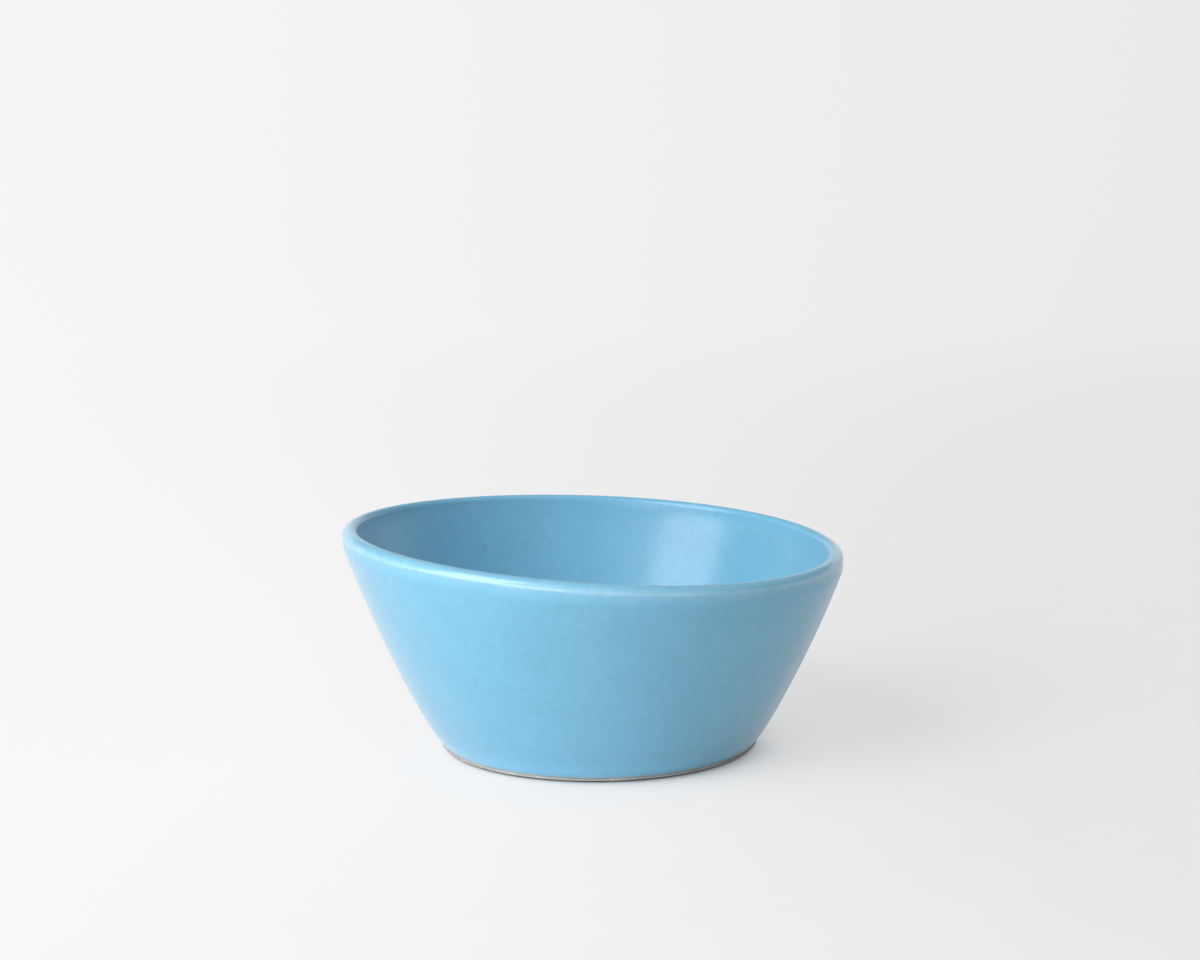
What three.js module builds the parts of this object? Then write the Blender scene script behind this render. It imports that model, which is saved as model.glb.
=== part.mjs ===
import * as THREE from 'three';
import { mergeVertices } from 'three/addons/utils/BufferGeometryUtils.js';

// A breakfast bowl in millimetres, standing on z = 0 with +Z up and its taller side towards -X.
// It is a thrown and turned stoneware body with a low foot ring, glazed all over but for the
// foot, with a patch of the same glaze inside the ring. Its rim isn't level: each piece is
// revolved from one section, and then the wall is drawn up or down along its own slope.

// The lip, measured on the finished glaze
const rimRadius = 75;
const rimHeight = 63;
const lipWidth = 4.4;
const lipInnerDrop = 1.7;
const lipOuterRun = 2.7;
const lipOuterDrop = 2.4;

// How the rim leaves the level: a tilt, and a gentle warp with two high places
const rimTilt = 4.2;
const rimWarp = 0.5;
const rimWarpTurn = THREE.MathUtils.degToRad(40);
const rimSpreadShare = 0.32;
const wallRisePower = 2;

// The outer wall, leaning out from the foot and curving up to a slight swell under the lip
const shoulderDrop = 3.8;
const shoulderSwell = 0.5;
const wallTopLean = THREE.MathUtils.degToRad(19.7);
const wallFootLean = THREE.MathUtils.degToRad(53.5);
const wallTopPullShare = 0.453;
const wallFootPullShare = 0.072;

// The clay of the wall and floor, with its glaze
const wallThickness = 4.6;
const wallFootThickness = 5.6;
const floorHeight = 8.8;
const cornerRise = 12;
const cornerPull = 8;
const floorReach = 42;

// The foot ring and the recess that it stands round
const footRadius = 47.9;
const footBevelRun = 2.2;
const footBevelRise = 0.55;
const footLedgeWidth = 0.8;
const footLedgeRise = 0.3;
const footEdgeRound = 0.6;
const footRingWidth = 7.9;
const recessDepth = 2.9;
const recessLean = 0.6;
const recessFillet = 1.6;

// The glaze, which stops short of the table and is fused to the clay
const glazeThickness = 0.5;
const glazeLineHeight = 1.15;
const glazeLineInset = 0.4;
const recessGlazeThickness = 0.4;
const glazeClearance = 0.02;

// How finely the rounds are cut
const turnSteps = 64;
const floorSteps = 6;
const innerWallSteps = 5;
const innerLipSteps = 3;
const outerLipSteps = 4;
const shoulderSteps = 2;
const outerWallSteps = 7;
const filletSteps = 3;
const halvings = 40;

const glazeMaterial = new THREE.MeshStandardMaterial({ color: 0x7ab8da, roughness: 0.32, metalness: 0 });
const clayMaterial = new THREE.MeshStandardMaterial({ color: 0xb7a48e, roughness: 0.85, metalness: 0 });
const recessGlazeMaterial = glazeMaterial.clone();

// The outside of the wall, from under the lip's shoulder down to where the glaze stops
const wallTop = new THREE.Vector2(rimRadius - shoulderSwell, rimHeight - lipOuterDrop - shoulderDrop);
const wallFoot = new THREE.Vector2(footRadius - glazeLineInset, glazeLineHeight);
const wallReach = wallTop.distanceTo(wallFoot);
const wallCurve = new THREE.CubicBezierCurve(
  wallTop,
  along(wallTop, wallTopLean, -wallReach * wallTopPullShare),
  along(wallFoot, wallFootLean, wallReach * wallFootPullShare),
  wallFoot,
);

// The point that lies a distance up a line leaning out from the vertical
function along(point, lean, distance) {
  return new THREE.Vector2(point.x + Math.sin(lean) * distance, point.y + Math.cos(lean) * distance);
}

// The inside of the wall at a share of the way down, a thickness in from the outside
function innerWallPoint(share) {
  const down = wallCurve.getTangent(share);
  const thickness = THREE.MathUtils.lerp(wallThickness, wallFootThickness, share);
  const point = wallCurve.getPoint(share);
  return new THREE.Vector2(point.x + down.y * thickness, point.y - down.x * thickness);
}

// The share of the way down at which the inside of the wall stands at a height
function innerWallShareAt(height) {
  let above = 0;
  let below = 1;
  for (let i = 0; i < halvings; i++) {
    const middle = (above + below) / 2;
    if (innerWallPoint(middle).y > height) {
      above = middle;
    } else {
      below = middle;
    }
  }
  return above;
}

// The middle of the floor runs flat and then sweeps up into the wall
function floorCurve(cornerShare) {
  const cornerTop = innerWallPoint(cornerShare);
  const down = wallCurve.getTangent(cornerShare);
  return new THREE.CubicBezierCurve(
    new THREE.Vector2(0, floorHeight),
    new THREE.Vector2(floorReach, floorHeight),
    cornerTop.clone().addScaledVector(down, cornerPull),
    cornerTop,
  );
}

// The inside of the wall from the corner up to the lip
function innerWallPoints(cornerShare) {
  const points = [];
  for (let i = 1; i <= innerWallSteps; i++) {
    points.push(innerWallPoint(cornerShare * (1 - i / innerWallSteps)));
  }
  return points;
}

// The lip's tight inner round, its wider outer round and the swell below it
function lipPoints() {
  const crown = rimRadius - lipOuterRun;
  const inner = new THREE.EllipseCurve(
    crown, rimHeight - lipInnerDrop, lipWidth - lipOuterRun, lipInnerDrop, Math.PI, Math.PI / 2, true,
  );
  const outer = new THREE.EllipseCurve(
    crown, rimHeight - lipOuterDrop, lipOuterRun, lipOuterDrop, Math.PI / 2, 0, true,
  );
  const shoulder = new THREE.QuadraticBezierCurve(
    new THREE.Vector2(rimRadius, rimHeight - lipOuterDrop),
    new THREE.Vector2(rimRadius, wallTop.y + shoulderSwell / Math.tan(wallTopLean)),
    wallTop,
  );
  return [
    ...inner.getPoints(innerLipSteps),
    ...outer.getPoints(outerLipSteps).slice(1),
    ...shoulder.getPoints(shoulderSteps).slice(1),
  ];
}

// The glaze's face from the middle of the floor, over the lip and down to the glaze line
function glazedFace() {
  const cornerShare = innerWallShareAt(floorHeight + cornerRise);
  return [
    ...floorCurve(cornerShare).getPoints(floorSteps),
    ...innerWallPoints(cornerShare),
    ...lipPoints(),
    ...wallCurve.getPoints(outerWallSteps).slice(1),
  ];
}

// The clay of the recess from its middle to the foot of its fillet
function recessFace() {
  const recessRadius = footRadius - footRingWidth - recessLean - footEdgeRound;
  const fillet = new THREE.EllipseCurve(
    recessRadius - recessFillet, recessDepth - recessFillet, recessFillet, recessFillet,
    Math.PI / 2, 0, true,
  );
  return [new THREE.Vector2(0, recessDepth), ...fillet.getPoints(filletSteps)];
}

// The bare ring that the bowl stands on: its inner round, its outer bevel and the narrow ledge
// that is left above it where the glaze was wiped back
function footPoints() {
  const innerRound = new THREE.EllipseCurve(
    footRadius - footRingWidth, footEdgeRound, footEdgeRound, footEdgeRound, Math.PI, 1.5 * Math.PI, false,
  );
  return [
    ...innerRound.getPoints(filletSteps),
    new THREE.Vector2(footRadius - footBevelRun, 0),
    new THREE.Vector2(footRadius, footBevelRise),
    new THREE.Vector2(footRadius - footLedgeWidth, footBevelRise + footLedgeRise),
  ];
}

// A line drawn a distance to the right of another, with its point on the axis kept there
function besides(line, distance) {
  return line.map((point, i) => {
    const before = line[Math.max(i - 1, 0)];
    const after = line[Math.min(i + 1, line.length - 1)];
    const way = after.clone().sub(before).normalize();
    const right = new THREE.Vector2(way.y, -way.x);
    const moved = point.clone().addScaledVector(right, distance);
    return point.x === 0 ? new THREE.Vector2(0, moved.y) : moved;
  });
}

// How far the rim stands above its mean height in a direction
function rimRise(angle) {
  return rimWarp * Math.cos(2 * (angle - rimWarpTurn)) - rimTilt * Math.cos(angle);
}

// How much of the rim's rise the wall has at a height: none in the floor, all at the lip
function riseShare(height) {
  const share = (height - floorHeight) / (wallTop.y - floorHeight);
  return THREE.MathUtils.clamp(share, 0, 1) ** wallRisePower;
}

// Revolves a section that runs anticlockwise from axis to axis, and draws the wall up or down
function turned(section) {
  const geometry = new THREE.LatheGeometry(section, turnSteps);
  geometry.deleteAttribute('normal');
  geometry.deleteAttribute('uv');
  geometry.rotateX(Math.PI / 2);
  const place = geometry.attributes.position;
  const point = new THREE.Vector3();
  for (let i = 0; i < place.count; i++) {
    point.fromBufferAttribute(place, i);
    const angle = Math.atan2(point.y, point.x);
    const rise = rimRise(angle) * riseShare(point.z);
    const radius = Math.hypot(point.x, point.y) + rise * rimSpreadShare;
    place.setXYZ(i, radius * Math.cos(angle), radius * Math.sin(angle), point.z + rise);
  }
  const closed = mergeVertices(geometry);
  closed.computeVertexNormals();
  return closed;
}

function named(name, geometry, material) {
  const mesh = new THREE.Mesh(geometry, material);
  mesh.name = name;
  return mesh;
}

// One lump of clay: the recess, the foot ring, and everything under the glaze
function stonewareBody() {
  const underGlaze = besides(glazedFace(), glazeThickness).reverse();
  return named('stoneware_body', turned([...recessFace(), ...footPoints(), ...underGlaze]), clayMaterial);
}

// One coat over the inside, the lip and the outside
function blueGlaze() {
  const face = glazedFace();
  const claySide = besides(face, glazeThickness - glazeClearance);
  return named('blue_glaze', turned([...claySide, ...face.reverse()]), glazeMaterial);
}

// The patch inside the foot ring
function undersideGlaze() {
  const clay = recessFace();
  const face = besides(clay, recessGlazeThickness);
  const claySide = besides(clay, glazeClearance);
  return named('underside_glaze', turned([...face, ...claySide.reverse()]), recessGlazeMaterial);
}

// The lip reaches further out where it stands higher, so the bowl's bounds, which the origin
// is the middle of, lie to one side of the axis that it was turned on
const bowl = new THREE.Group();
bowl.position.x = rimTilt * rimSpreadShare;
bowl.add(stonewareBody(), blueGlaze(), undersideGlaze());

export default bowl;
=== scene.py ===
import bpy
import math
from mathutils import Matrix, Vector


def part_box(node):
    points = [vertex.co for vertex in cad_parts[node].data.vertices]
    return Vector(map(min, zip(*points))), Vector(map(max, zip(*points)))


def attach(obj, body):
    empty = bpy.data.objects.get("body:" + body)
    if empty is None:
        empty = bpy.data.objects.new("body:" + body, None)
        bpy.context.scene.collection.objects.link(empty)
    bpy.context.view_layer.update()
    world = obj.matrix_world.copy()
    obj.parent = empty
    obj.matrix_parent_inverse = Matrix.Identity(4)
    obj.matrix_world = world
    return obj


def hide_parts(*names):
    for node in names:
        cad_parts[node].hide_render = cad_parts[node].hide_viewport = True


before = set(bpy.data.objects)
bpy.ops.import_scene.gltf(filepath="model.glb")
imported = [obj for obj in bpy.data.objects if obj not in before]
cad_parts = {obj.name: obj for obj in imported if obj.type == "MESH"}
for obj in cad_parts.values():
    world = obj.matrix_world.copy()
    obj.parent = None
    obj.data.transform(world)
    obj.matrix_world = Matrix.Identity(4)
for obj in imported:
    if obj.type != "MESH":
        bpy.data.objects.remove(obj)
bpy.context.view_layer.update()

# The clay body: one lump of pale stoneware, thrown and turned, fired under its glaze. Only the
# bare foot shows, as a thin line above the table and as the ring that the bowl stands on. The
# rim left the level while the clay was soft, so the wall is taller on one side.

MM = 0.001

rim_radius = 75 * MM
rim_height = 63 * MM
lip_width = 4.4 * MM
lip_inner_drop = 1.7 * MM
lip_outer_run = 2.7 * MM
lip_outer_drop = 2.4 * MM
lip_squareness = 2.15
rim_tilt = 4.2 * MM
rim_warp = 0.5 * MM
rim_warp_turn = math.radians(40)
rim_spread_share = 0.32
wall_rise_power = 2.0
shoulder_drop = 3.8 * MM
shoulder_swell = 0.5 * MM
wall_top_lean = math.radians(19.7)
wall_foot_lean = math.radians(53.5)
wall_top_pull_share = 0.453
wall_foot_pull_share = 0.072
wall_thickness = 4.6 * MM
wall_foot_thickness = 5.6 * MM
floor_height = 8.8 * MM
corner_rise = 12 * MM
corner_pull = 8 * MM
floor_reach = 42 * MM
foot_radius = 47.9 * MM
foot_bevel_run = 2.2 * MM
foot_bevel_rise = 0.55 * MM
foot_ledge_width = 0.8 * MM
foot_ledge_rise = 0.3 * MM
foot_edge_round = 0.6 * MM
foot_ring_width = 7.9 * MM
recess_depth = 2.9 * MM
recess_lean = 0.6 * MM
recess_fillet = 1.6 * MM
glaze_thickness = 0.5 * MM
glaze_line_height = 1.15 * MM
glaze_line_inset = 0.4 * MM

# The ledge's worn outer edge, as steps out and up from where its two faces would meet
ledge_wear = (
    (-0.3 * MM, -0.075 * MM),
    (-0.08 * MM, -0.01 * MM),
    (-0.05 * MM, 0.05 * MM),
    (-0.25 * MM, 0.13 * MM),
)

# How finely the rounds are cut
turn_steps = 320
floor_steps = 28
inner_wall_steps = 16
inner_lip_steps = 10
outer_lip_steps = 20
shoulder_steps = 8
outer_wall_steps = 30
recess_steps = 12
fillet_steps = 8
foot_round_steps = 6
halvings = 40
seam_reach = 0.0001 * MM

# What the thrower's fingers leave in the wall: a faint wave, drawn in only and never out
hand_unevenness = 0.06 * MM
unevenness_scale = 2.2
unevenness_detail = 2.0
unevenness_climb = 60.0
unevenness_lift_share = 0.1

# The bare clay, with its grog, its turning lines, and painted shade on the bottom of its outer edge
# where the contact shadow falls
clay_tones = (
    (0.3, (0.45, 0.445, 0.43)),
    (0.55, (0.53, 0.535, 0.525)),
    (0.75, (0.6, 0.61, 0.6)),
)
clay_tone_scale = 160
clay_dryness = (0.72, 0.92)
clay_shine = 0.3
grog_brown = (0.2, 0.14, 0.09)
grog_scale = 1500.0
grog_span = (0.12, 0.3)
grog_strength = 0.55
# Painted contact shade: a dark brown laid low on the foot's outer edge, and a quarter of it on the ring
# it stands on
contact_shade_brown = (0.13, 0.12, 0.1)
contact_shade_height = (0.1 * MM, 0.5 * MM)
contact_shade_strength = 0.75
contact_shade_inset = (2.8 * MM, 1.9 * MM)
ring_shade_share = 0.25
grit_scale = 2600
grit_detail = 4
grit_strength = 0.5
grit_depth = 0.05 * MM
clay_ring_fineness = 1400
clay_ring_relief = 2.0
ring_detail = 2.0

axis_place = (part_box("underside_glaze")[0].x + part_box("underside_glaze")[1].x) / 2
wall_top = Vector((rim_radius - shoulder_swell, rim_height - lip_outer_drop - shoulder_drop))
wall_foot = Vector((foot_radius - glaze_line_inset, glaze_line_height))
wall_reach = (wall_top - wall_foot).length
wall_top_way = Vector((math.sin(wall_top_lean), math.cos(wall_top_lean)))
wall_foot_way = Vector((math.sin(wall_foot_lean), math.cos(wall_foot_lean)))
wall_handles = (
    wall_top,
    wall_top - wall_top_way * wall_reach * wall_top_pull_share,
    wall_foot + wall_foot_way * wall_reach * wall_foot_pull_share,
    wall_foot,
)


def bend(handles, share):
    """A point on the smooth curve that four handles pull."""
    a, b, c, d = handles
    rest = 1 - share
    return a * rest**3 + b * 3 * rest**2 * share + c * 3 * rest * share**2 + d * share**3


def bend_way(handles, share):
    """The direction of that curve."""
    a, b, c, d = handles
    rest = 1 - share
    return ((b - a) * rest**2 + (c - b) * 2 * rest * share + (d - c) * share**2).normalized()


def inner_wall_point(share):
    """The inside of the wall at a share of the way down from the shoulder."""
    down = bend_way(wall_handles, share)
    thickness = wall_thickness + (wall_foot_thickness - wall_thickness) * share
    return bend(wall_handles, share) + Vector((down.y, -down.x)) * thickness


def inner_wall_share_at(height):
    """How far down the inside of the wall a height lies."""
    above, below = 0.0, 1.0
    for _ in range(halvings):
        middle = (above + below) / 2
        if inner_wall_point(middle).y > height:
            above = middle
        else:
            below = middle
    return above


def round_corner(centre, run, rise, start, end, steps, squareness=2.0):
    """A quarter of an oval, from one angle to another; more squareness makes its sides flatter."""
    points = []
    for i in range(steps + 1):
        angle = start + (end - start) * i / steps
        across, up = math.cos(angle), math.sin(angle)
        run_share = math.copysign(abs(across) ** (2 / squareness), across)
        rise_share = math.copysign(abs(up) ** (2 / squareness), up)
        points.append(centre + Vector((run * run_share, rise * rise_share)))
    return points


def glazed_face():
    """The glaze from the middle of the floor, up the inside, over the lip and down to the foot."""
    corner_share = inner_wall_share_at(floor_height + corner_rise)
    corner_top = inner_wall_point(corner_share)
    floor_handles = (
        Vector((0, floor_height)),
        Vector((floor_reach, floor_height)),
        corner_top + bend_way(wall_handles, corner_share) * corner_pull,
        corner_top,
    )
    crown = rim_radius - lip_outer_run
    shoulder_top = Vector((rim_radius, rim_height - lip_outer_drop))
    shoulder_pull = Vector((rim_radius, wall_top.y + shoulder_swell / math.tan(wall_top_lean)))
    points = [bend(floor_handles, i / floor_steps) for i in range(floor_steps + 1)]
    for i in range(1, inner_wall_steps + 1):
        points.append(inner_wall_point(corner_share * (1 - i / inner_wall_steps)))
    points += round_corner(
        Vector((crown, rim_height - lip_inner_drop)), lip_width - lip_outer_run, lip_inner_drop,
        math.pi, math.pi / 2, inner_lip_steps,
    )
    points += round_corner(
        Vector((crown, rim_height - lip_outer_drop)), lip_outer_run, lip_outer_drop,
        math.pi / 2, 0, outer_lip_steps, lip_squareness,
    )[1:]
    for i in range(1, shoulder_steps + 1):
        share = i / shoulder_steps
        rest = 1 - share
        points.append(shoulder_top * rest**2 + shoulder_pull * 2 * share * rest + wall_top * share**2)
    points += [bend(wall_handles, i / outer_wall_steps) for i in range(1, outer_wall_steps + 1)]
    return points


def beside(line, distance):
    """A line drawn a distance to the right of another, with its point on the axis kept there."""
    moved = []
    for i, point in enumerate(line):
        way = (line[min(i + 1, len(line) - 1)] - line[max(i - 1, 0)]).normalized()
        place = point + Vector((way.y, -way.x)) * distance
        moved.append(Vector((0 if point.x == 0 else place.x, place.y)))
    return moved


def recess_face():
    """The clay of the recess from its middle to the foot of its fillet."""
    recess_radius = foot_radius - foot_ring_width - recess_lean - foot_edge_round
    centre = Vector((recess_radius - recess_fillet, recess_depth - recess_fillet))
    flat = [Vector((centre.x * i / recess_steps, recess_depth)) for i in range(recess_steps)]
    return flat + round_corner(centre, recess_fillet, recess_fillet, math.pi / 2, 0, fillet_steps)


def clay_section():
    """The clay from the middle of the recess, round the foot ring and over the lip to the floor."""
    inner_round = round_corner(
        Vector((foot_radius - foot_ring_width, foot_edge_round)), foot_edge_round, foot_edge_round,
        math.pi, 1.5 * math.pi, foot_round_steps,
    )
    bevel = [Vector((foot_radius - foot_bevel_run, 0))]
    bevel += [Vector((foot_radius + out, foot_bevel_rise + up)) for out, up in ledge_wear]
    ledge = [Vector((foot_radius - foot_ledge_width, foot_bevel_rise + foot_ledge_rise))]
    under_glaze = beside(glazed_face(), glaze_thickness)[::-1]
    return recess_face() + inner_round + bevel + ledge + under_glaze


def joined(tree, kind, inputs=(), **settings):
    """A node of a tree with its settings, and its inputs linked or set by name or number."""
    node = tree.nodes.new(kind)
    for name, value in settings.items():
        setattr(node, name, value)
    for name, value in dict(inputs).items():
        if isinstance(value, bpy.types.NodeSocket):
            tree.links.new(value, node.inputs[name])
        else:
            node.inputs[name].default_value = value
    return node


def sum_of(tree, operation, a, b=0.0, clamp=False):
    """A sum worked out by a Math node."""
    node = joined(tree, "ShaderNodeMath", {0: a, 1: b}, operation=operation, use_clamp=clamp)
    return node.outputs[0]


def turned_pot_inputs(tree):
    """Gives the tree its named sizes, its section and its finish."""
    sizes = {
        "Axis Place": axis_place, "Rim Tilt": rim_tilt, "Rim Warp": rim_warp,
        "Rim Warp Turn": rim_warp_turn, "Rim Spread": rim_spread_share,
        "Floor Height": floor_height, "Wall Top": wall_top.y,
        "Hand Unevenness": hand_unevenness, "Unevenness Scale": unevenness_scale,
    }
    sockets = tree.interface
    sockets.new_socket("Section", in_out="INPUT", socket_type="NodeSocketGeometry")
    for name, value in sizes.items():
        sockets.new_socket(name, in_out="INPUT", socket_type="NodeSocketFloat").default_value = value
    steps = sockets.new_socket("Turn Steps", in_out="INPUT", socket_type="NodeSocketInt")
    steps.default_value = turn_steps
    sockets.new_socket("Finish", in_out="INPUT", socket_type="NodeSocketMaterial")
    sockets.new_socket("Pot", in_out="OUTPUT", socket_type="NodeSocketGeometry")


def section_value(tree, section, column, value, kind):
    """A value of the section's points, taken at each one's column of the grid."""
    node = joined(
        tree, "GeometryNodeSampleIndex", {"Geometry": section, "Value": value, "Index": column},
        data_type=kind, domain="POINT",
    )
    return node.outputs[0]


def turned_pot_tree():
    """Revolves a section, and draws the wall up or down its own slope to the uneven rim."""
    tree = bpy.data.node_groups.new("turned pot", "GeometryNodeTree")
    turned_pot_inputs(tree)
    given = joined(tree, "NodeGroupInput").outputs

    # A grid with one row for each direction and one column for each point of the section
    section = given["Section"]
    counted = joined(tree, "GeometryNodeAttributeDomainSize", {"Geometry": section}, component="MESH")
    count = counted.outputs["Point Count"]
    rows = sum_of(tree, "ADD", given["Turn Steps"], 1.0)
    grid = joined(tree, "GeometryNodeMeshGrid", {"Vertices X": rows, "Vertices Y": count})
    index = joined(tree, "GeometryNodeInputIndex").outputs[0]
    row = sum_of(tree, "FLOOR", sum_of(tree, "DIVIDE", index, count))
    column = sum_of(tree, "MODULO", index, count)
    position = joined(tree, "GeometryNodeInputPosition").outputs[0]
    place = section_value(tree, section, column, position, "FLOAT_VECTOR")
    # The thin attribute: how thin the glaze lies, and above 1 where the painted lip highlight runs
    stored = joined(tree, "GeometryNodeInputNamedAttribute", {"Name": "thin"}, data_type="FLOAT")
    thin = section_value(tree, section, column, stored.outputs[0], "FLOAT")
    parts = joined(tree, "ShaderNodeSeparateXYZ", {0: place}).outputs
    radius, height = parts[0], parts[2]
    turn = sum_of(tree, "MULTIPLY", sum_of(tree, "DIVIDE", row, given["Turn Steps"]), math.tau)
    across = sum_of(tree, "COSINE", turn)
    away = sum_of(tree, "SINE", turn)

    # The rim's rise in this direction, and the share of it that the wall has at this height
    doubled = sum_of(tree, "MULTIPLY", sum_of(tree, "SUBTRACT", turn, given["Rim Warp Turn"]), 2.0)
    warp = sum_of(tree, "MULTIPLY", given["Rim Warp"], sum_of(tree, "COSINE", doubled))
    rim_rise = sum_of(tree, "SUBTRACT", warp, sum_of(tree, "MULTIPLY", given["Rim Tilt"], across))
    climbed = sum_of(tree, "SUBTRACT", height, given["Floor Height"])
    whole = sum_of(tree, "SUBTRACT", given["Wall Top"], given["Floor Height"])
    up_wall = sum_of(tree, "DIVIDE", climbed, whole, clamp=True)
    share = sum_of(tree, "POWER", up_wall, wall_rise_power)
    rise = sum_of(tree, "MULTIPLY", rim_rise, share)

    # The slight unevenness that the thrower's fingers leave in the wall
    climb = sum_of(tree, "MULTIPLY", height, unevenness_climb)
    sweep = joined(tree, "ShaderNodeCombineXYZ", {0: across, 1: away, 2: climb}).outputs[0]
    fingers = joined(tree, "ShaderNodeTexNoise", {
        "Vector": sweep, "Scale": given["Unevenness Scale"], "Detail": unevenness_detail,
    }, noise_dimensions="3D")
    inwards = sum_of(tree, "SUBTRACT", fingers.outputs[0], 1.0)
    wave = sum_of(tree, "MULTIPLY", sum_of(tree, "MULTIPLY", inwards, given["Hand Unevenness"]), share)
    reach = sum_of(tree, "ADD", radius, sum_of(tree, "MULTIPLY", rise, given["Rim Spread"]))
    reach = sum_of(tree, "ADD", reach, wave)
    lift = sum_of(tree, "MULTIPLY", wave, unevenness_lift_share)
    spot = joined(tree, "ShaderNodeCombineXYZ", {
        0: sum_of(tree, "ADD", given["Axis Place"], sum_of(tree, "MULTIPLY", reach, across)),
        1: sum_of(tree, "MULTIPLY", reach, away),
        2: sum_of(tree, "ADD", sum_of(tree, "ADD", height, rise), lift),
    }).outputs[0]

    # The grid takes its places, and its seam and the fans round the axis close up
    shaped = joined(tree, "GeometryNodeSetPosition", {"Geometry": grid.outputs[0], "Position": spot})
    kept = joined(
        tree, "GeometryNodeStoreNamedAttribute",
        {"Geometry": shaped.outputs[0], "Name": "thin", "Value": thin},
        data_type="FLOAT", domain="POINT",
    )
    closed = joined(
        tree, "GeometryNodeMergeByDistance", {"Geometry": kept.outputs[0], "Distance": seam_reach},
    )
    smooth = joined(tree, "GeometryNodeSetShadeSmooth", {"Geometry": closed.outputs[0]})
    real = joined(tree, "GeometryNodeRealizeInstances", {"Geometry": smooth.outputs[0]})
    finished = joined(
        tree, "GeometryNodeSetMaterial", {"Geometry": real.outputs[0], "Material": given["Finish"]},
    )
    joined(tree, "NodeGroupOutput", {"Pot": finished.outputs[0]})
    return tree


def turned(name, section, thin, finish):
    """A closed mesh turned from a section, with how thin the glaze lies at each of its points and where
    the painted lip highlight runs.
    """
    line = bpy.data.meshes.new(name + "_section")
    steps = [(i, i + 1) for i in range(len(section) - 1)]
    line.from_pydata([(point.x, 0, point.y) for point in section], steps, [])
    line.attributes.new("thin", "FLOAT", "POINT").data.foreach_set("value", thin)
    holder = bpy.data.objects.new(name + "_section", line)
    bpy.context.scene.collection.objects.link(holder)
    wheel = holder.modifiers.new("wheel", "NODES")
    wheel.node_group = turned_pot
    sockets = {s.name: s.identifier for s in turned_pot.interface.items_tree if s.in_out == "INPUT"}
    wheel[sockets["Finish"]] = finish
    bpy.context.view_layer.update()
    ready = holder.evaluated_get(bpy.context.evaluated_depsgraph_get())
    mesh = bpy.data.meshes.new_from_object(ready)
    bpy.data.objects.remove(holder)
    mesh.name = name
    piece = bpy.data.objects.new(name, mesh)
    bpy.context.scene.collection.objects.link(piece)
    return piece


def spread(tree, value, start, end, low=0.0, high=1.0, easing="LINEAR"):
    """A value carried from one span to another, and held at its ends."""
    node = joined(tree, "ShaderNodeMapRange", {
        "Value": value, "From Min": start, "From Max": end, "To Min": low, "To Max": high,
    }, interpolation_type=easing)
    return node.outputs[0]


def laid_over(tree, share, under, over):
    """One colour laid over another by a share; a Mix node's colours are its inputs 6 and 7."""
    under, over = ((*colour, 1) if isinstance(colour, tuple) else colour for colour in (under, over))
    return joined(tree, "ShaderNodeMix", {0: share, 6: under, 7: over}, data_type="RGBA").outputs[2]


def ramp(tree, value, stops):
    """Colours spread over a value."""
    node = joined(tree, "ShaderNodeValToRGB", {"Fac": value})
    bar = node.color_ramp
    while len(bar.elements) < len(stops):
        bar.elements.new(0.5)
    for element, (position, colour) in zip(bar.elements, stops):
        element.position = position
        element.color = (*colour, 1)
    return node.outputs["Color"]


def noise(tree, where, scale, detail=3.0, roughness=0.5):
    """A soft random pattern, finer as its scale grows."""
    node = joined(tree, "ShaderNodeTexNoise", {
        "Vector": where, "Scale": scale, "Detail": detail, "Roughness": roughness,
    })
    return node.outputs["Fac"]


def height_of(tree, where):
    """How high above the table a place on the bowl is."""
    return joined(tree, "ShaderNodeSeparateXYZ", {0: where}).outputs[2]


def from_axis(tree, where):
    """How far a place lies from the axis that the bowl was turned on."""
    return joined(
        tree, "ShaderNodeVectorMath", {0: where, 1: (axis_place, 0, 0)}, operation="DISTANCE",
    ).outputs["Value"]


def new_material(name):
    """A material with its surface node and the piece's own coordinates."""
    material = bpy.data.materials.new(name)
    material.use_nodes = True
    tree = material.node_tree
    where = joined(tree, "ShaderNodeTexCoord").outputs["Object"]
    return material, tree, tree.nodes["Principled BSDF"], where


def turning_lines(tree, where, fineness):
    """The fine rings that a turning tool leaves round the axis, and the radius of a place."""
    level = joined(tree, "ShaderNodeVectorMath", {0: where, 1: (1.0, 1.0, 0.0)}, operation="MULTIPLY")
    radius = from_axis(tree, level.outputs[0])
    rings = joined(
        tree, "ShaderNodeTexNoise", {"W": radius, "Scale": fineness, "Detail": ring_detail},
        noise_dimensions="1D",
    )
    return rings.outputs["Fac"], radius


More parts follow.
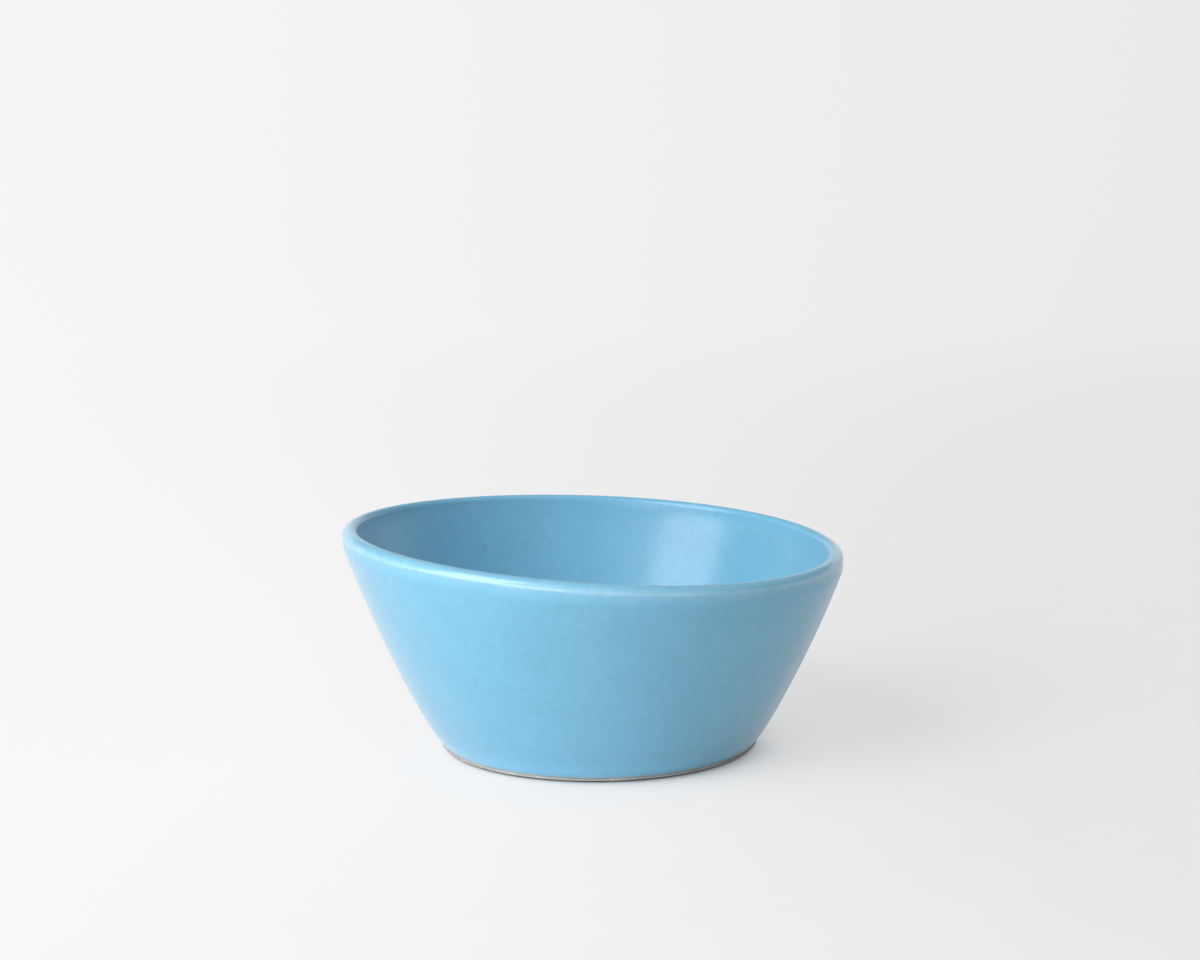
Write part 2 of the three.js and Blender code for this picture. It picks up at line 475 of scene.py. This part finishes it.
def bare_clay():
    """Pale grey stoneware with fine dark grog, dry to the touch, with painted contact shade at the
    foot's edge.
    """
    material, tree, surface, where = new_material("bare stoneware")
    tone = noise(tree, where, clay_tone_scale)
    body = ramp(tree, tone, clay_tones)
    grog = joined(tree, "ShaderNodeTexVoronoi", {"Vector": where, "Scale": grog_scale})
    dark = spread(tree, grog.outputs["Distance"], *grog_span, grog_strength, 0.0)
    speckled = laid_over(tree, dark, body, grog_brown)
    rings, radius = turning_lines(tree, where, clay_ring_fineness)
    # Painted shade: darker low on the foot's outer edge, where the contact shadow falls
    low_down = spread(tree, height_of(tree, where), *contact_shade_height, contact_shade_strength, 0.0)
    shade_start, shade_full = (foot_radius - inset for inset in contact_shade_inset)
    at_edge = spread(tree, radius, shade_start, shade_full, ring_shade_share, 1.0)
    contact_shade = sum_of(tree, "MULTIPLY", low_down, at_edge)
    tree.links.new(laid_over(tree, contact_shade, speckled, contact_shade_brown), surface.inputs["Base Color"])
    tree.links.new(spread(tree, tone, 0.0, 1.0, *clay_dryness), surface.inputs["Roughness"])
    grooves = sum_of(tree, "MULTIPLY", rings, clay_ring_relief)
    relief = sum_of(tree, "ADD", noise(tree, where, grit_scale, grit_detail), grooves)
    grit = joined(tree, "ShaderNodeBump", {
        "Height": relief, "Strength": grit_strength, "Distance": grit_depth,
    })
    tree.links.new(grit.outputs[0], surface.inputs["Normal"])
    surface.inputs["Specular IOR Level"].default_value = clay_shine
    return material


turned_pot = turned_pot_tree()
clay_points = clay_section()
clay = turned("turned_clay", clay_points, [0.0] * len(clay_points), bare_clay())
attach(clay, "root")
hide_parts("stoneware_body")

# The blue glaze: one coat of opaque satin glaze, poured and dipped, fused to the clay. It lies
# thinner on the lip, carries a painted highlight along the line where the lip is widest, and rolls
# to a soft edge just above the bare foot. A few specks of iron and some pinholes show in it.

glaze_clearance = 0.02 * MM
glaze_edge_round = 0.22 * MM
glaze_edge_steps = 5
glaze_edge_trim = 1.5

# Its colour: wide clouds and a fine mottle round one blue, with painted bounce light making it lighter
# towards the foot
glaze_blue = (0.183, 0.475, 0.67)
cloud_scale = 55
cloud_detail = 4
cloud_roughness = 0.55
cloud_share = 0.42
mottle_scale = 540
mottle_detail = 3
mottle_roughness = 0.6
mottle_share = 0.58
mottle_span = (0.34, 0.66)
mottle_shades = (0.932, 1.052)
# Painted light: the glaze made lighter near the foot, where the floor's bounce light falls
painted_foot_light = 1.2
painted_foot_light_height = 8.5 * MM

# Where it lies thin on the lip, and the painted highlight along the line where the lip is widest
thin_blue = (0.5, 0.68, 0.78)
thin_strength = 0.15
thin_smoothness = 0.4
thin_drop = 1.6 * MM
thin_fade = 1.9 * MM
thin_fullness = 1.6
thin_inset = 2.9 * MM
thin_inset_fade = 1.0 * MM
# Painted highlight: a light line laid along the lip where it is widest
lip_highlight_colour = (0.72, 0.88, 0.96)
lip_highlight_strength = 0.17
lip_highlight_drop = 2.0 * MM
lip_highlight_reach = 1.1 * MM
lip_highlight_span = (0.35, 0.65)
lip_highlight_unevenness = (0.5, 1.4)

# Its edge above the foot, wiped and worn to a ragged grey
worn_grey = (0.47, 0.48, 0.475)
worn_strength = 0.7
worn_reach = 0.9 * MM
worn_raggedness = 0.8 * MM

# Specks of iron and pinholes, each in some of the same cells
speck_scale = 170.0
speck_span = (0.02, 0.075)
iron_speck = (0.05, 0.16, 0.25)
iron_strength = 0.45
iron_above = 0.72
pinholes_below = 0.3
pinhole_depth = 1.5

# Its satin surface, and the turning lines that show through it inside the foot ring
satin_roughness = (0.2, 0.29)
glaze_ior = 1.5
thin_ior = 1.65
glaze_sheen = 0.3
glaze_sheen_roughness = 0.4
glaze_sheen_tint = (0.95, 0.98, 1.0)
skin_scale = 700
skin_detail = 2
skin_strength = 0.35
skin_depth = 0.03 * MM
glazed_ring_fineness = 420


def shaded(colour, share):
    """A colour made darker or lighter by a share."""
    return tuple(share * part for part in colour)


def thinness_and_highlight(point):
    """How thin the glaze has run at a point of its section: up to 1 round the outer lip, and on
    to 2 along the line where the lip is widest, where a lighter painted highlight is laid."""
    by_height = thin_fullness - abs(point.y - rim_height + thin_drop) / thin_fade
    by_reach = (point.x - rim_radius + thin_inset) / thin_inset_fade
    thin = max(0.0, min(1.0, by_height)) * max(0.0, min(1.0, by_reach))
    # Painted highlight: a line along the lip's widest point
    lip_highlight_line = max(0.0, 1.0 - abs(point.y - rim_height + lip_highlight_drop) / lip_highlight_reach)
    return thin + lip_highlight_line * thin


def satin_blue_glaze(name, ring_relief=0.0):
    """Opaque sky blue glaze with soft mottling, fine specks and pinholes, over any turning lines."""
    material, tree, surface, where = new_material(name)
    clouds = noise(tree, where, cloud_scale, cloud_detail, cloud_roughness)
    mottle = noise(tree, where, mottle_scale, mottle_detail, mottle_roughness)
    clouded = sum_of(tree, "MULTIPLY", clouds, cloud_share)
    mixed = sum_of(tree, "ADD", clouded, sum_of(tree, "MULTIPLY", mottle, mottle_share))
    colour = ramp(tree, mixed, [
        (mottle_span[0], shaded(glaze_blue, mottle_shades[0])),
        (0.5, glaze_blue),
        (mottle_span[1], shaded(glaze_blue, mottle_shades[1])),
    ])

    # Thin on the lip, and a lighter painted highlight along the line where the lip is widest
    thin_and_highlight = joined(tree, "ShaderNodeAttribute", attribute_name="thin").outputs["Fac"]
    thin = sum_of(tree, "MINIMUM", thin_and_highlight, 1.0)
    paled = sum_of(tree, "MULTIPLY", thin, sum_of(tree, "MULTIPLY", mottle, thin_strength))
    colour = laid_over(tree, paled, colour, thin_blue)
    # Painted highlight: the light line along the lip, made uneven by the clouds
    uneven = spread(tree, clouds, *lip_highlight_span, *lip_highlight_unevenness)
    lip_highlight_line = sum_of(tree, "MULTIPLY", sum_of(tree, "SUBTRACT", thin_and_highlight, thin), lip_highlight_strength)
    colour = laid_over(tree, sum_of(tree, "MULTIPLY", lip_highlight_line, uneven), colour, lip_highlight_colour)

    # Painted bounce light, lighter towards the foot, and the glaze worn along its edge
    height = height_of(tree, where)
    foot_light_lift = spread(
        tree, height, glaze_line_height, painted_foot_light_height, painted_foot_light, 1.0, easing="SMOOTHSTEP",
    )
    scaled = joined(tree, "ShaderNodeVectorMath", {0: colour, "Scale": foot_light_lift}, operation="SCALE")
    strayed = sum_of(tree, "MULTIPLY", sum_of(tree, "SUBTRACT", mottle, 0.5), worn_raggedness)
    ragged = sum_of(tree, "ADD", height, strayed)
    worn_top = glaze_line_height + worn_reach
    worn = spread(tree, ragged, glaze_line_height, worn_top, worn_strength, 0.0, easing="SMOOTHSTEP")
    colour = laid_over(tree, worn, scaled.outputs[0], worn_grey)

    # Specks of iron
    cells = joined(tree, "ShaderNodeTexVoronoi", {"Vector": where, "Scale": speck_scale})
    chosen = joined(tree, "ShaderNodeSeparateColor", {0: cells.outputs["Color"]}).outputs
    spot = spread(tree, cells.outputs["Distance"], *speck_span, 1.0, 0.0)
    iron = sum_of(tree, "MULTIPLY", spot, sum_of(tree, "GREATER_THAN", chosen[0], iron_above))
    colour = laid_over(tree, sum_of(tree, "MULTIPLY", iron, iron_strength), colour, iron_speck)
    tree.links.new(colour, surface.inputs["Base Color"])

    # Satin all over, and smoother and glassier where it lies thin
    satin = spread(tree, mottle, 0.0, 1.0, *satin_roughness)
    smoother = sum_of(tree, "SUBTRACT", 1.0, sum_of(tree, "MULTIPLY", thin, thin_smoothness))
    tree.links.new(sum_of(tree, "MULTIPLY", satin, smoother), surface.inputs["Roughness"])
    tree.links.new(spread(tree, thin, 0.0, 1.0, glaze_ior, thin_ior), surface.inputs["IOR"])
    surface.inputs["Sheen Weight"].default_value = glaze_sheen
    surface.inputs["Sheen Roughness"].default_value = glaze_sheen_roughness
    surface.inputs["Sheen Tint"].default_value = (*glaze_sheen_tint, 1)

    # The skin's fine waves, its pinholes and any turning lines under it
    pinhole = sum_of(tree, "MULTIPLY", spot, sum_of(tree, "LESS_THAN", chosen[1], pinholes_below))
    pits = sum_of(tree, "MULTIPLY", pinhole, pinhole_depth)
    skin = sum_of(tree, "SUBTRACT", noise(tree, where, skin_scale, skin_detail), pits)
    if ring_relief:
        rings, _ = turning_lines(tree, where, glazed_ring_fineness)
        skin = sum_of(tree, "ADD", skin, sum_of(tree, "MULTIPLY", rings, ring_relief))
    relief = joined(tree, "ShaderNodeBump", {
        "Height": skin, "Strength": skin_strength, "Distance": skin_depth,
    })
    tree.links.new(relief.outputs[0], surface.inputs["Normal"])
    return material


def rolled_edge(face):
    """The glaze's face with its last stretch rolled in to a soft edge."""
    last = face[-1]
    way = (face[-1] - face[-2]).normalized()
    side = Vector((way.y, -way.x))
    start = last - way * glaze_edge_round
    rolled = [point for point in face if (point - last).length > glaze_edge_round * glaze_edge_trim]
    for i in range(glaze_edge_steps + 1):
        a = math.pi / 2 * i / glaze_edge_steps
        forward = way * glaze_edge_round * math.sin(a)
        inward = side * glaze_edge_round * (1 - math.cos(a))
        rolled.append(start + forward + inward)
    return rolled


coat_points = beside(glazed_face(), glaze_thickness - glaze_clearance) + rolled_edge(glazed_face())[::-1]
coat_thinness_and_highlight = [thinness_and_highlight(point) for point in coat_points]
glaze = turned("glaze_coat", coat_points, coat_thinness_and_highlight, satin_blue_glaze("satin blue glaze"))
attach(glaze, "root")
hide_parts("blue_glaze")

# The underside glaze: the same glaze brushed into the recess inside the foot ring, over its
# turning lines, and wiped off the ring, which stays bare so that the bowl doesn't stick to the
# kiln shelf.

recess_glaze_thickness = 0.4 * MM
glazed_ring_relief = 6.0

recess_outside = beside(recess_face(), recess_glaze_thickness)
recess_points = recess_outside + beside(recess_face(), glaze_clearance)[::-1]
recess_glaze = turned(
    "recess_glaze", recess_points, [0.0] * len(recess_points),
    satin_blue_glaze("satin blue glaze, underside", glazed_ring_relief),
)
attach(recess_glaze, "root")
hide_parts("underside_glaze")

# The studio: a round cove of white paper, a window of two panes at the front left, one long and
# low and one tall and high, a dim pale wall at the front, and the light of the room. The camera
# stands where the photograph was taken from.

cove_rings = [(0.0, 0.0), (0.5, 0.0), (1.5, 0.0), (3.0, 0.0)]
cove_bend = 1.0
cove_bend_steps = 16
cove_top = 1.3
cove_sides = 96

# The paper, and its glow on the window's side and on the other, near the bowl and far from it
paper_white = (0.65, 0.653, 0.656)
paper_shades = (0.985, 1.015)
paper_fibre_scale = 40
paper_fibre_span = (0.3, 0.7)
paper_roughness = 0.8
paper_shine = 0.2
near_glow = ((0.985, 0.985, 0.99), (0.93, 0.93, 0.935))
far_glow = ((0.94, 0.94, 0.945), (0.835, 0.835, 0.84))
near_glow_share = (0.86, 0.63)
far_glow_share = 0.97
glow_side_softness = 0.25
glow_side_span = (-0.3, 0.3)
glow_away_span = (0.15, 1.3)

# How the glow comes in from the foot, round the front and towards the side in the lee
glow_start = foot_radius
glow_edge = 1.0 * MM
glow_at_once = 0.7
glow_reach = (1.0 * MM, 6.0 * MM)
glow_front_span = (0.25, 0.8)
glow_front_power = 1.5
glow_turn_span = (-0.5, 0.5)
glow_lee_power = 2.0

# Each lamp: its bearing and climb from the bowl, its size in metres and its power in watts
lamp_distance = 1.3
lamp_aim_height = 0.04
lamps = {
    "low_pane": (math.radians(-135), math.radians(3.5), (1.96, 0.085), 7.5),
    "high_pane": (math.radians(-146), math.radians(38), (0.78, 1.25), 13.4),
    "pale_wall": (math.radians(-112), math.radians(40), (0.9, 0.9), 1.3),
}

# The room's light, from the front and from above, and how much of it the glaze mirrors
room_from_front = 0.51
room_from_above = 0.45
mirrored_room_share = 0.4

# The camera, as fitted to the photograph, with its width and the focus in pixels
photo_width = 1200
sensor_width = 36
camera_place = Vector((2.24, -700, 191.69)) * MM
camera_pitch = math.radians(9.089)
camera_roll = math.radians(-0.499)
camera_focus = 2366.3


def between(tree, share, start, end):
    """A value that lies a share of the way from one to another, its node's inputs 2 and 3."""
    return joined(tree, "ShaderNodeMix", {0: share, 2: start, 3: end}).outputs[0]


def glow_past_foot(tree, where, from_foot):
    """How far the glow has come in: almost at once at the sides, more slowly in front, slowest
    away from the window, where the bowl's shadow falls, and not at all under the foot."""
    outward = joined(
        tree, "ShaderNodeVectorMath", {0: where, 1: (axis_place, 0, 0)}, operation="SUBTRACT",
    )
    outward = joined(tree, "ShaderNodeVectorMath", {0: outward.outputs[0]}, operation="NORMALIZE")
    facing = joined(tree, "ShaderNodeSeparateXYZ", {0: outward.outputs[0]}).outputs
    in_front = sum_of(tree, "MAXIMUM", sum_of(tree, "MULTIPLY", facing[1], -1.0), 0.0)
    by_window = spread(tree, in_front, *glow_front_span, 1.0, 0.0, easing="SMOOTHSTEP")
    beside_bowl = sum_of(tree, "POWER", sum_of(tree, "SUBTRACT", 1.0, in_front), glow_front_power)
    by_lee = sum_of(tree, "MULTIPLY", beside_bowl, glow_at_once)
    at_once = between(tree, spread(tree, facing[0], *glow_turn_span), by_window, by_lee)
    delayed = sum_of(tree, "SUBTRACT", 1.0, at_once)
    lee = sum_of(tree, "POWER", spread(tree, facing[0], -1.0, 1.0), glow_lee_power)
    reach = between(tree, lee, *glow_reach)
    past_foot = sum_of(tree, "MAXIMUM", sum_of(tree, "SUBTRACT", from_foot, glow_start), 0.0)
    reaches = sum_of(tree, "MULTIPLY", sum_of(tree, "DIVIDE", past_foot, reach), -1.0)
    fading = sum_of(tree, "EXPONENT", reaches)
    clear = sum_of(tree, "SUBTRACT", 1.0, sum_of(tree, "MULTIPLY", delayed, fading))
    outside_foot = spread(tree, from_foot, glow_start - glow_edge, glow_start)
    return sum_of(tree, "MULTIPLY", clear, outside_foot)


def white_paper():
    """White paper that keeps the bowl's shadow, and glows so that it photographs as white."""
    paper, tree, surface, where = new_material("white paper")
    shades = [shaded(paper_white, share) for share in paper_shades]
    fibre = ramp(tree, noise(tree, where, paper_fibre_scale), list(zip(paper_fibre_span, shades)))
    tree.links.new(fibre, surface.inputs["Base Color"])
    surface.inputs["Roughness"].default_value = paper_roughness
    surface.inputs["Specular IOR Level"].default_value = paper_shine

    # The glow's colour, and its share of what the camera and the glaze see
    across = joined(tree, "ShaderNodeSeparateXYZ", {0: where}).outputs[0]
    from_foot = from_axis(tree, where)
    bearing = sum_of(tree, "DIVIDE", across, sum_of(tree, "ADD", from_foot, glow_side_softness))
    side = spread(tree, bearing, *glow_side_span)
    away = spread(tree, from_foot, *glow_away_span)
    near, far = (laid_over(tree, side, *glow) for glow in (near_glow, far_glow))
    glow = laid_over(tree, away, near, far)
    emission = joined(tree, "ShaderNodeEmission", {"Color": glow, "Strength": 1.0})
    full_share = between(tree, away, between(tree, side, *near_glow_share), far_glow_share)
    share = sum_of(tree, "MULTIPLY", full_share, glow_past_foot(tree, where, from_foot))
    seen = joined(tree, "ShaderNodeLightPath").outputs
    straight = sum_of(tree, "MAXIMUM", seen["Is Camera Ray"], seen["Is Glossy Ray"])
    straight = sum_of(tree, "MAXIMUM", straight, seen["Is Transmission Ray"])
    mixed = joined(tree, "ShaderNodeMixShader", {
        0: sum_of(tree, "MULTIPLY", straight, share), 1: surface.outputs[0], 2: emission.outputs[0],
    })
    tree.links.new(mixed.outputs[0], tree.nodes["Material Output"].inputs["Surface"])
    return paper


def paper_cove():
    """Seamless paper, flat under the bowl and curving up all round it."""
    outline = list(cove_rings)
    flat_reach = cove_rings[-1][0]
    for i in range(1, cove_bend_steps + 1):
        a = math.pi / 2 * i / cove_bend_steps
        outline.append((flat_reach + cove_bend * math.sin(a), cove_bend * (1 - math.cos(a))))
    outline.append((flat_reach + cove_bend, cove_top))
    corners = [(0, 0, 0)]
    for radius, height in outline[1:]:
        for i in range(cove_sides):
            a = math.tau * i / cove_sides
            corners.append((radius * math.cos(a), radius * math.sin(a), height))
    faces = [(0, 1 + i, 1 + (i + 1) % cove_sides) for i in range(cove_sides)]
    for ring in range(len(outline) - 2):
        start = 1 + ring * cove_sides
        for i in range(cove_sides):
            a, b = start + i, start + (i + 1) % cove_sides
            faces.append((a, a + cove_sides, b + cove_sides, b))
    mesh = bpy.data.meshes.new("paper_cove")
    mesh.from_pydata(corners, [], faces)
    mesh.shade_smooth()
    mesh.materials.append(white_paper())
    cove = bpy.data.objects.new("paper_cove", mesh)
    bpy.context.scene.collection.objects.link(cove)


def soft_light(name, bearing, climb, size, power):
    """A flat lamp that stands in a direction, at a height above the horizon, and faces the bowl."""
    lamp = bpy.data.lights.new(name, "AREA")
    lamp.shape = "RECTANGLE"
    lamp.size, lamp.size_y = size
    lamp.energy = power
    stand = bpy.data.objects.new(name, lamp)
    level = math.cos(climb)
    way = Vector((level * math.cos(bearing), level * math.sin(bearing), math.sin(climb)))
    stand.location = way * lamp_distance + Vector((0, 0, lamp_aim_height))
    stand.rotation_euler = way.to_track_quat("Z", "Y").to_euler()
    stand.visible_camera = False
    bpy.context.scene.collection.objects.link(stand)


def from_one_side(tree, part, half):
    """Light that is full from one side, none from the other, and falls off softly in between."""
    turned_to = sum_of(tree, "MULTIPLY_ADD", part, half)
    turned_to.node.inputs[2].default_value = 0.5
    return sum_of(tree, "MULTIPLY", turned_to, turned_to)


def pale_room():
    """The light of the room, from the front and from above, dimmer where the glaze mirrors it."""
    world = bpy.data.worlds.new("pale room")
    world.use_nodes = True
    tree = world.node_tree
    background = tree.nodes["Background"]
    background.inputs["Color"].default_value = (1.0, 1.0, 1.0, 1)
    sky = joined(tree, "ShaderNodeTexCoord").outputs["Generated"]
    way = joined(tree, "ShaderNodeSeparateXYZ", {0: sky}).outputs
    front = sum_of(tree, "MULTIPLY", from_one_side(tree, way[1], -0.5), room_from_front)
    above = sum_of(tree, "MULTIPLY", from_one_side(tree, way[2], 0.5), room_from_above)
    total = sum_of(tree, "ADD", front, above)
    mirrored = joined(tree, "ShaderNodeLightPath").outputs["Is Glossy Ray"]
    unseen = sum_of(tree, "MULTIPLY", mirrored, 1.0 - mirrored_room_share)
    dimmed = sum_of(tree, "SUBTRACT", 1.0, unseen)
    tree.links.new(sum_of(tree, "MULTIPLY", total, dimmed), background.inputs["Strength"])
    bpy.context.scene.world = world


def photo_camera():
    """The photograph's view: from the front, a little above the rim, hardly rolled."""
    view = bpy.data.cameras.new("photo_camera")
    view.sensor_width = sensor_width
    view.lens = sensor_width * camera_focus / photo_width
    holder = bpy.data.objects.new("photo_camera", view)
    aim = Matrix.Rotation(math.radians(90) - camera_pitch, 4, "X") @ Matrix.Rotation(camera_roll, 4, "Z")
    holder.matrix_world = Matrix.Translation(camera_place) @ aim
    bpy.context.scene.collection.objects.link(holder)
    bpy.context.scene.camera = holder


paper_cove()
for lamp_name, (bearing, climb, size, power) in lamps.items():
    soft_light(lamp_name, bearing, climb, size, power)
pale_room()
photo_camera()
bpy.context.scene.view_settings.view_transform = "Standard"
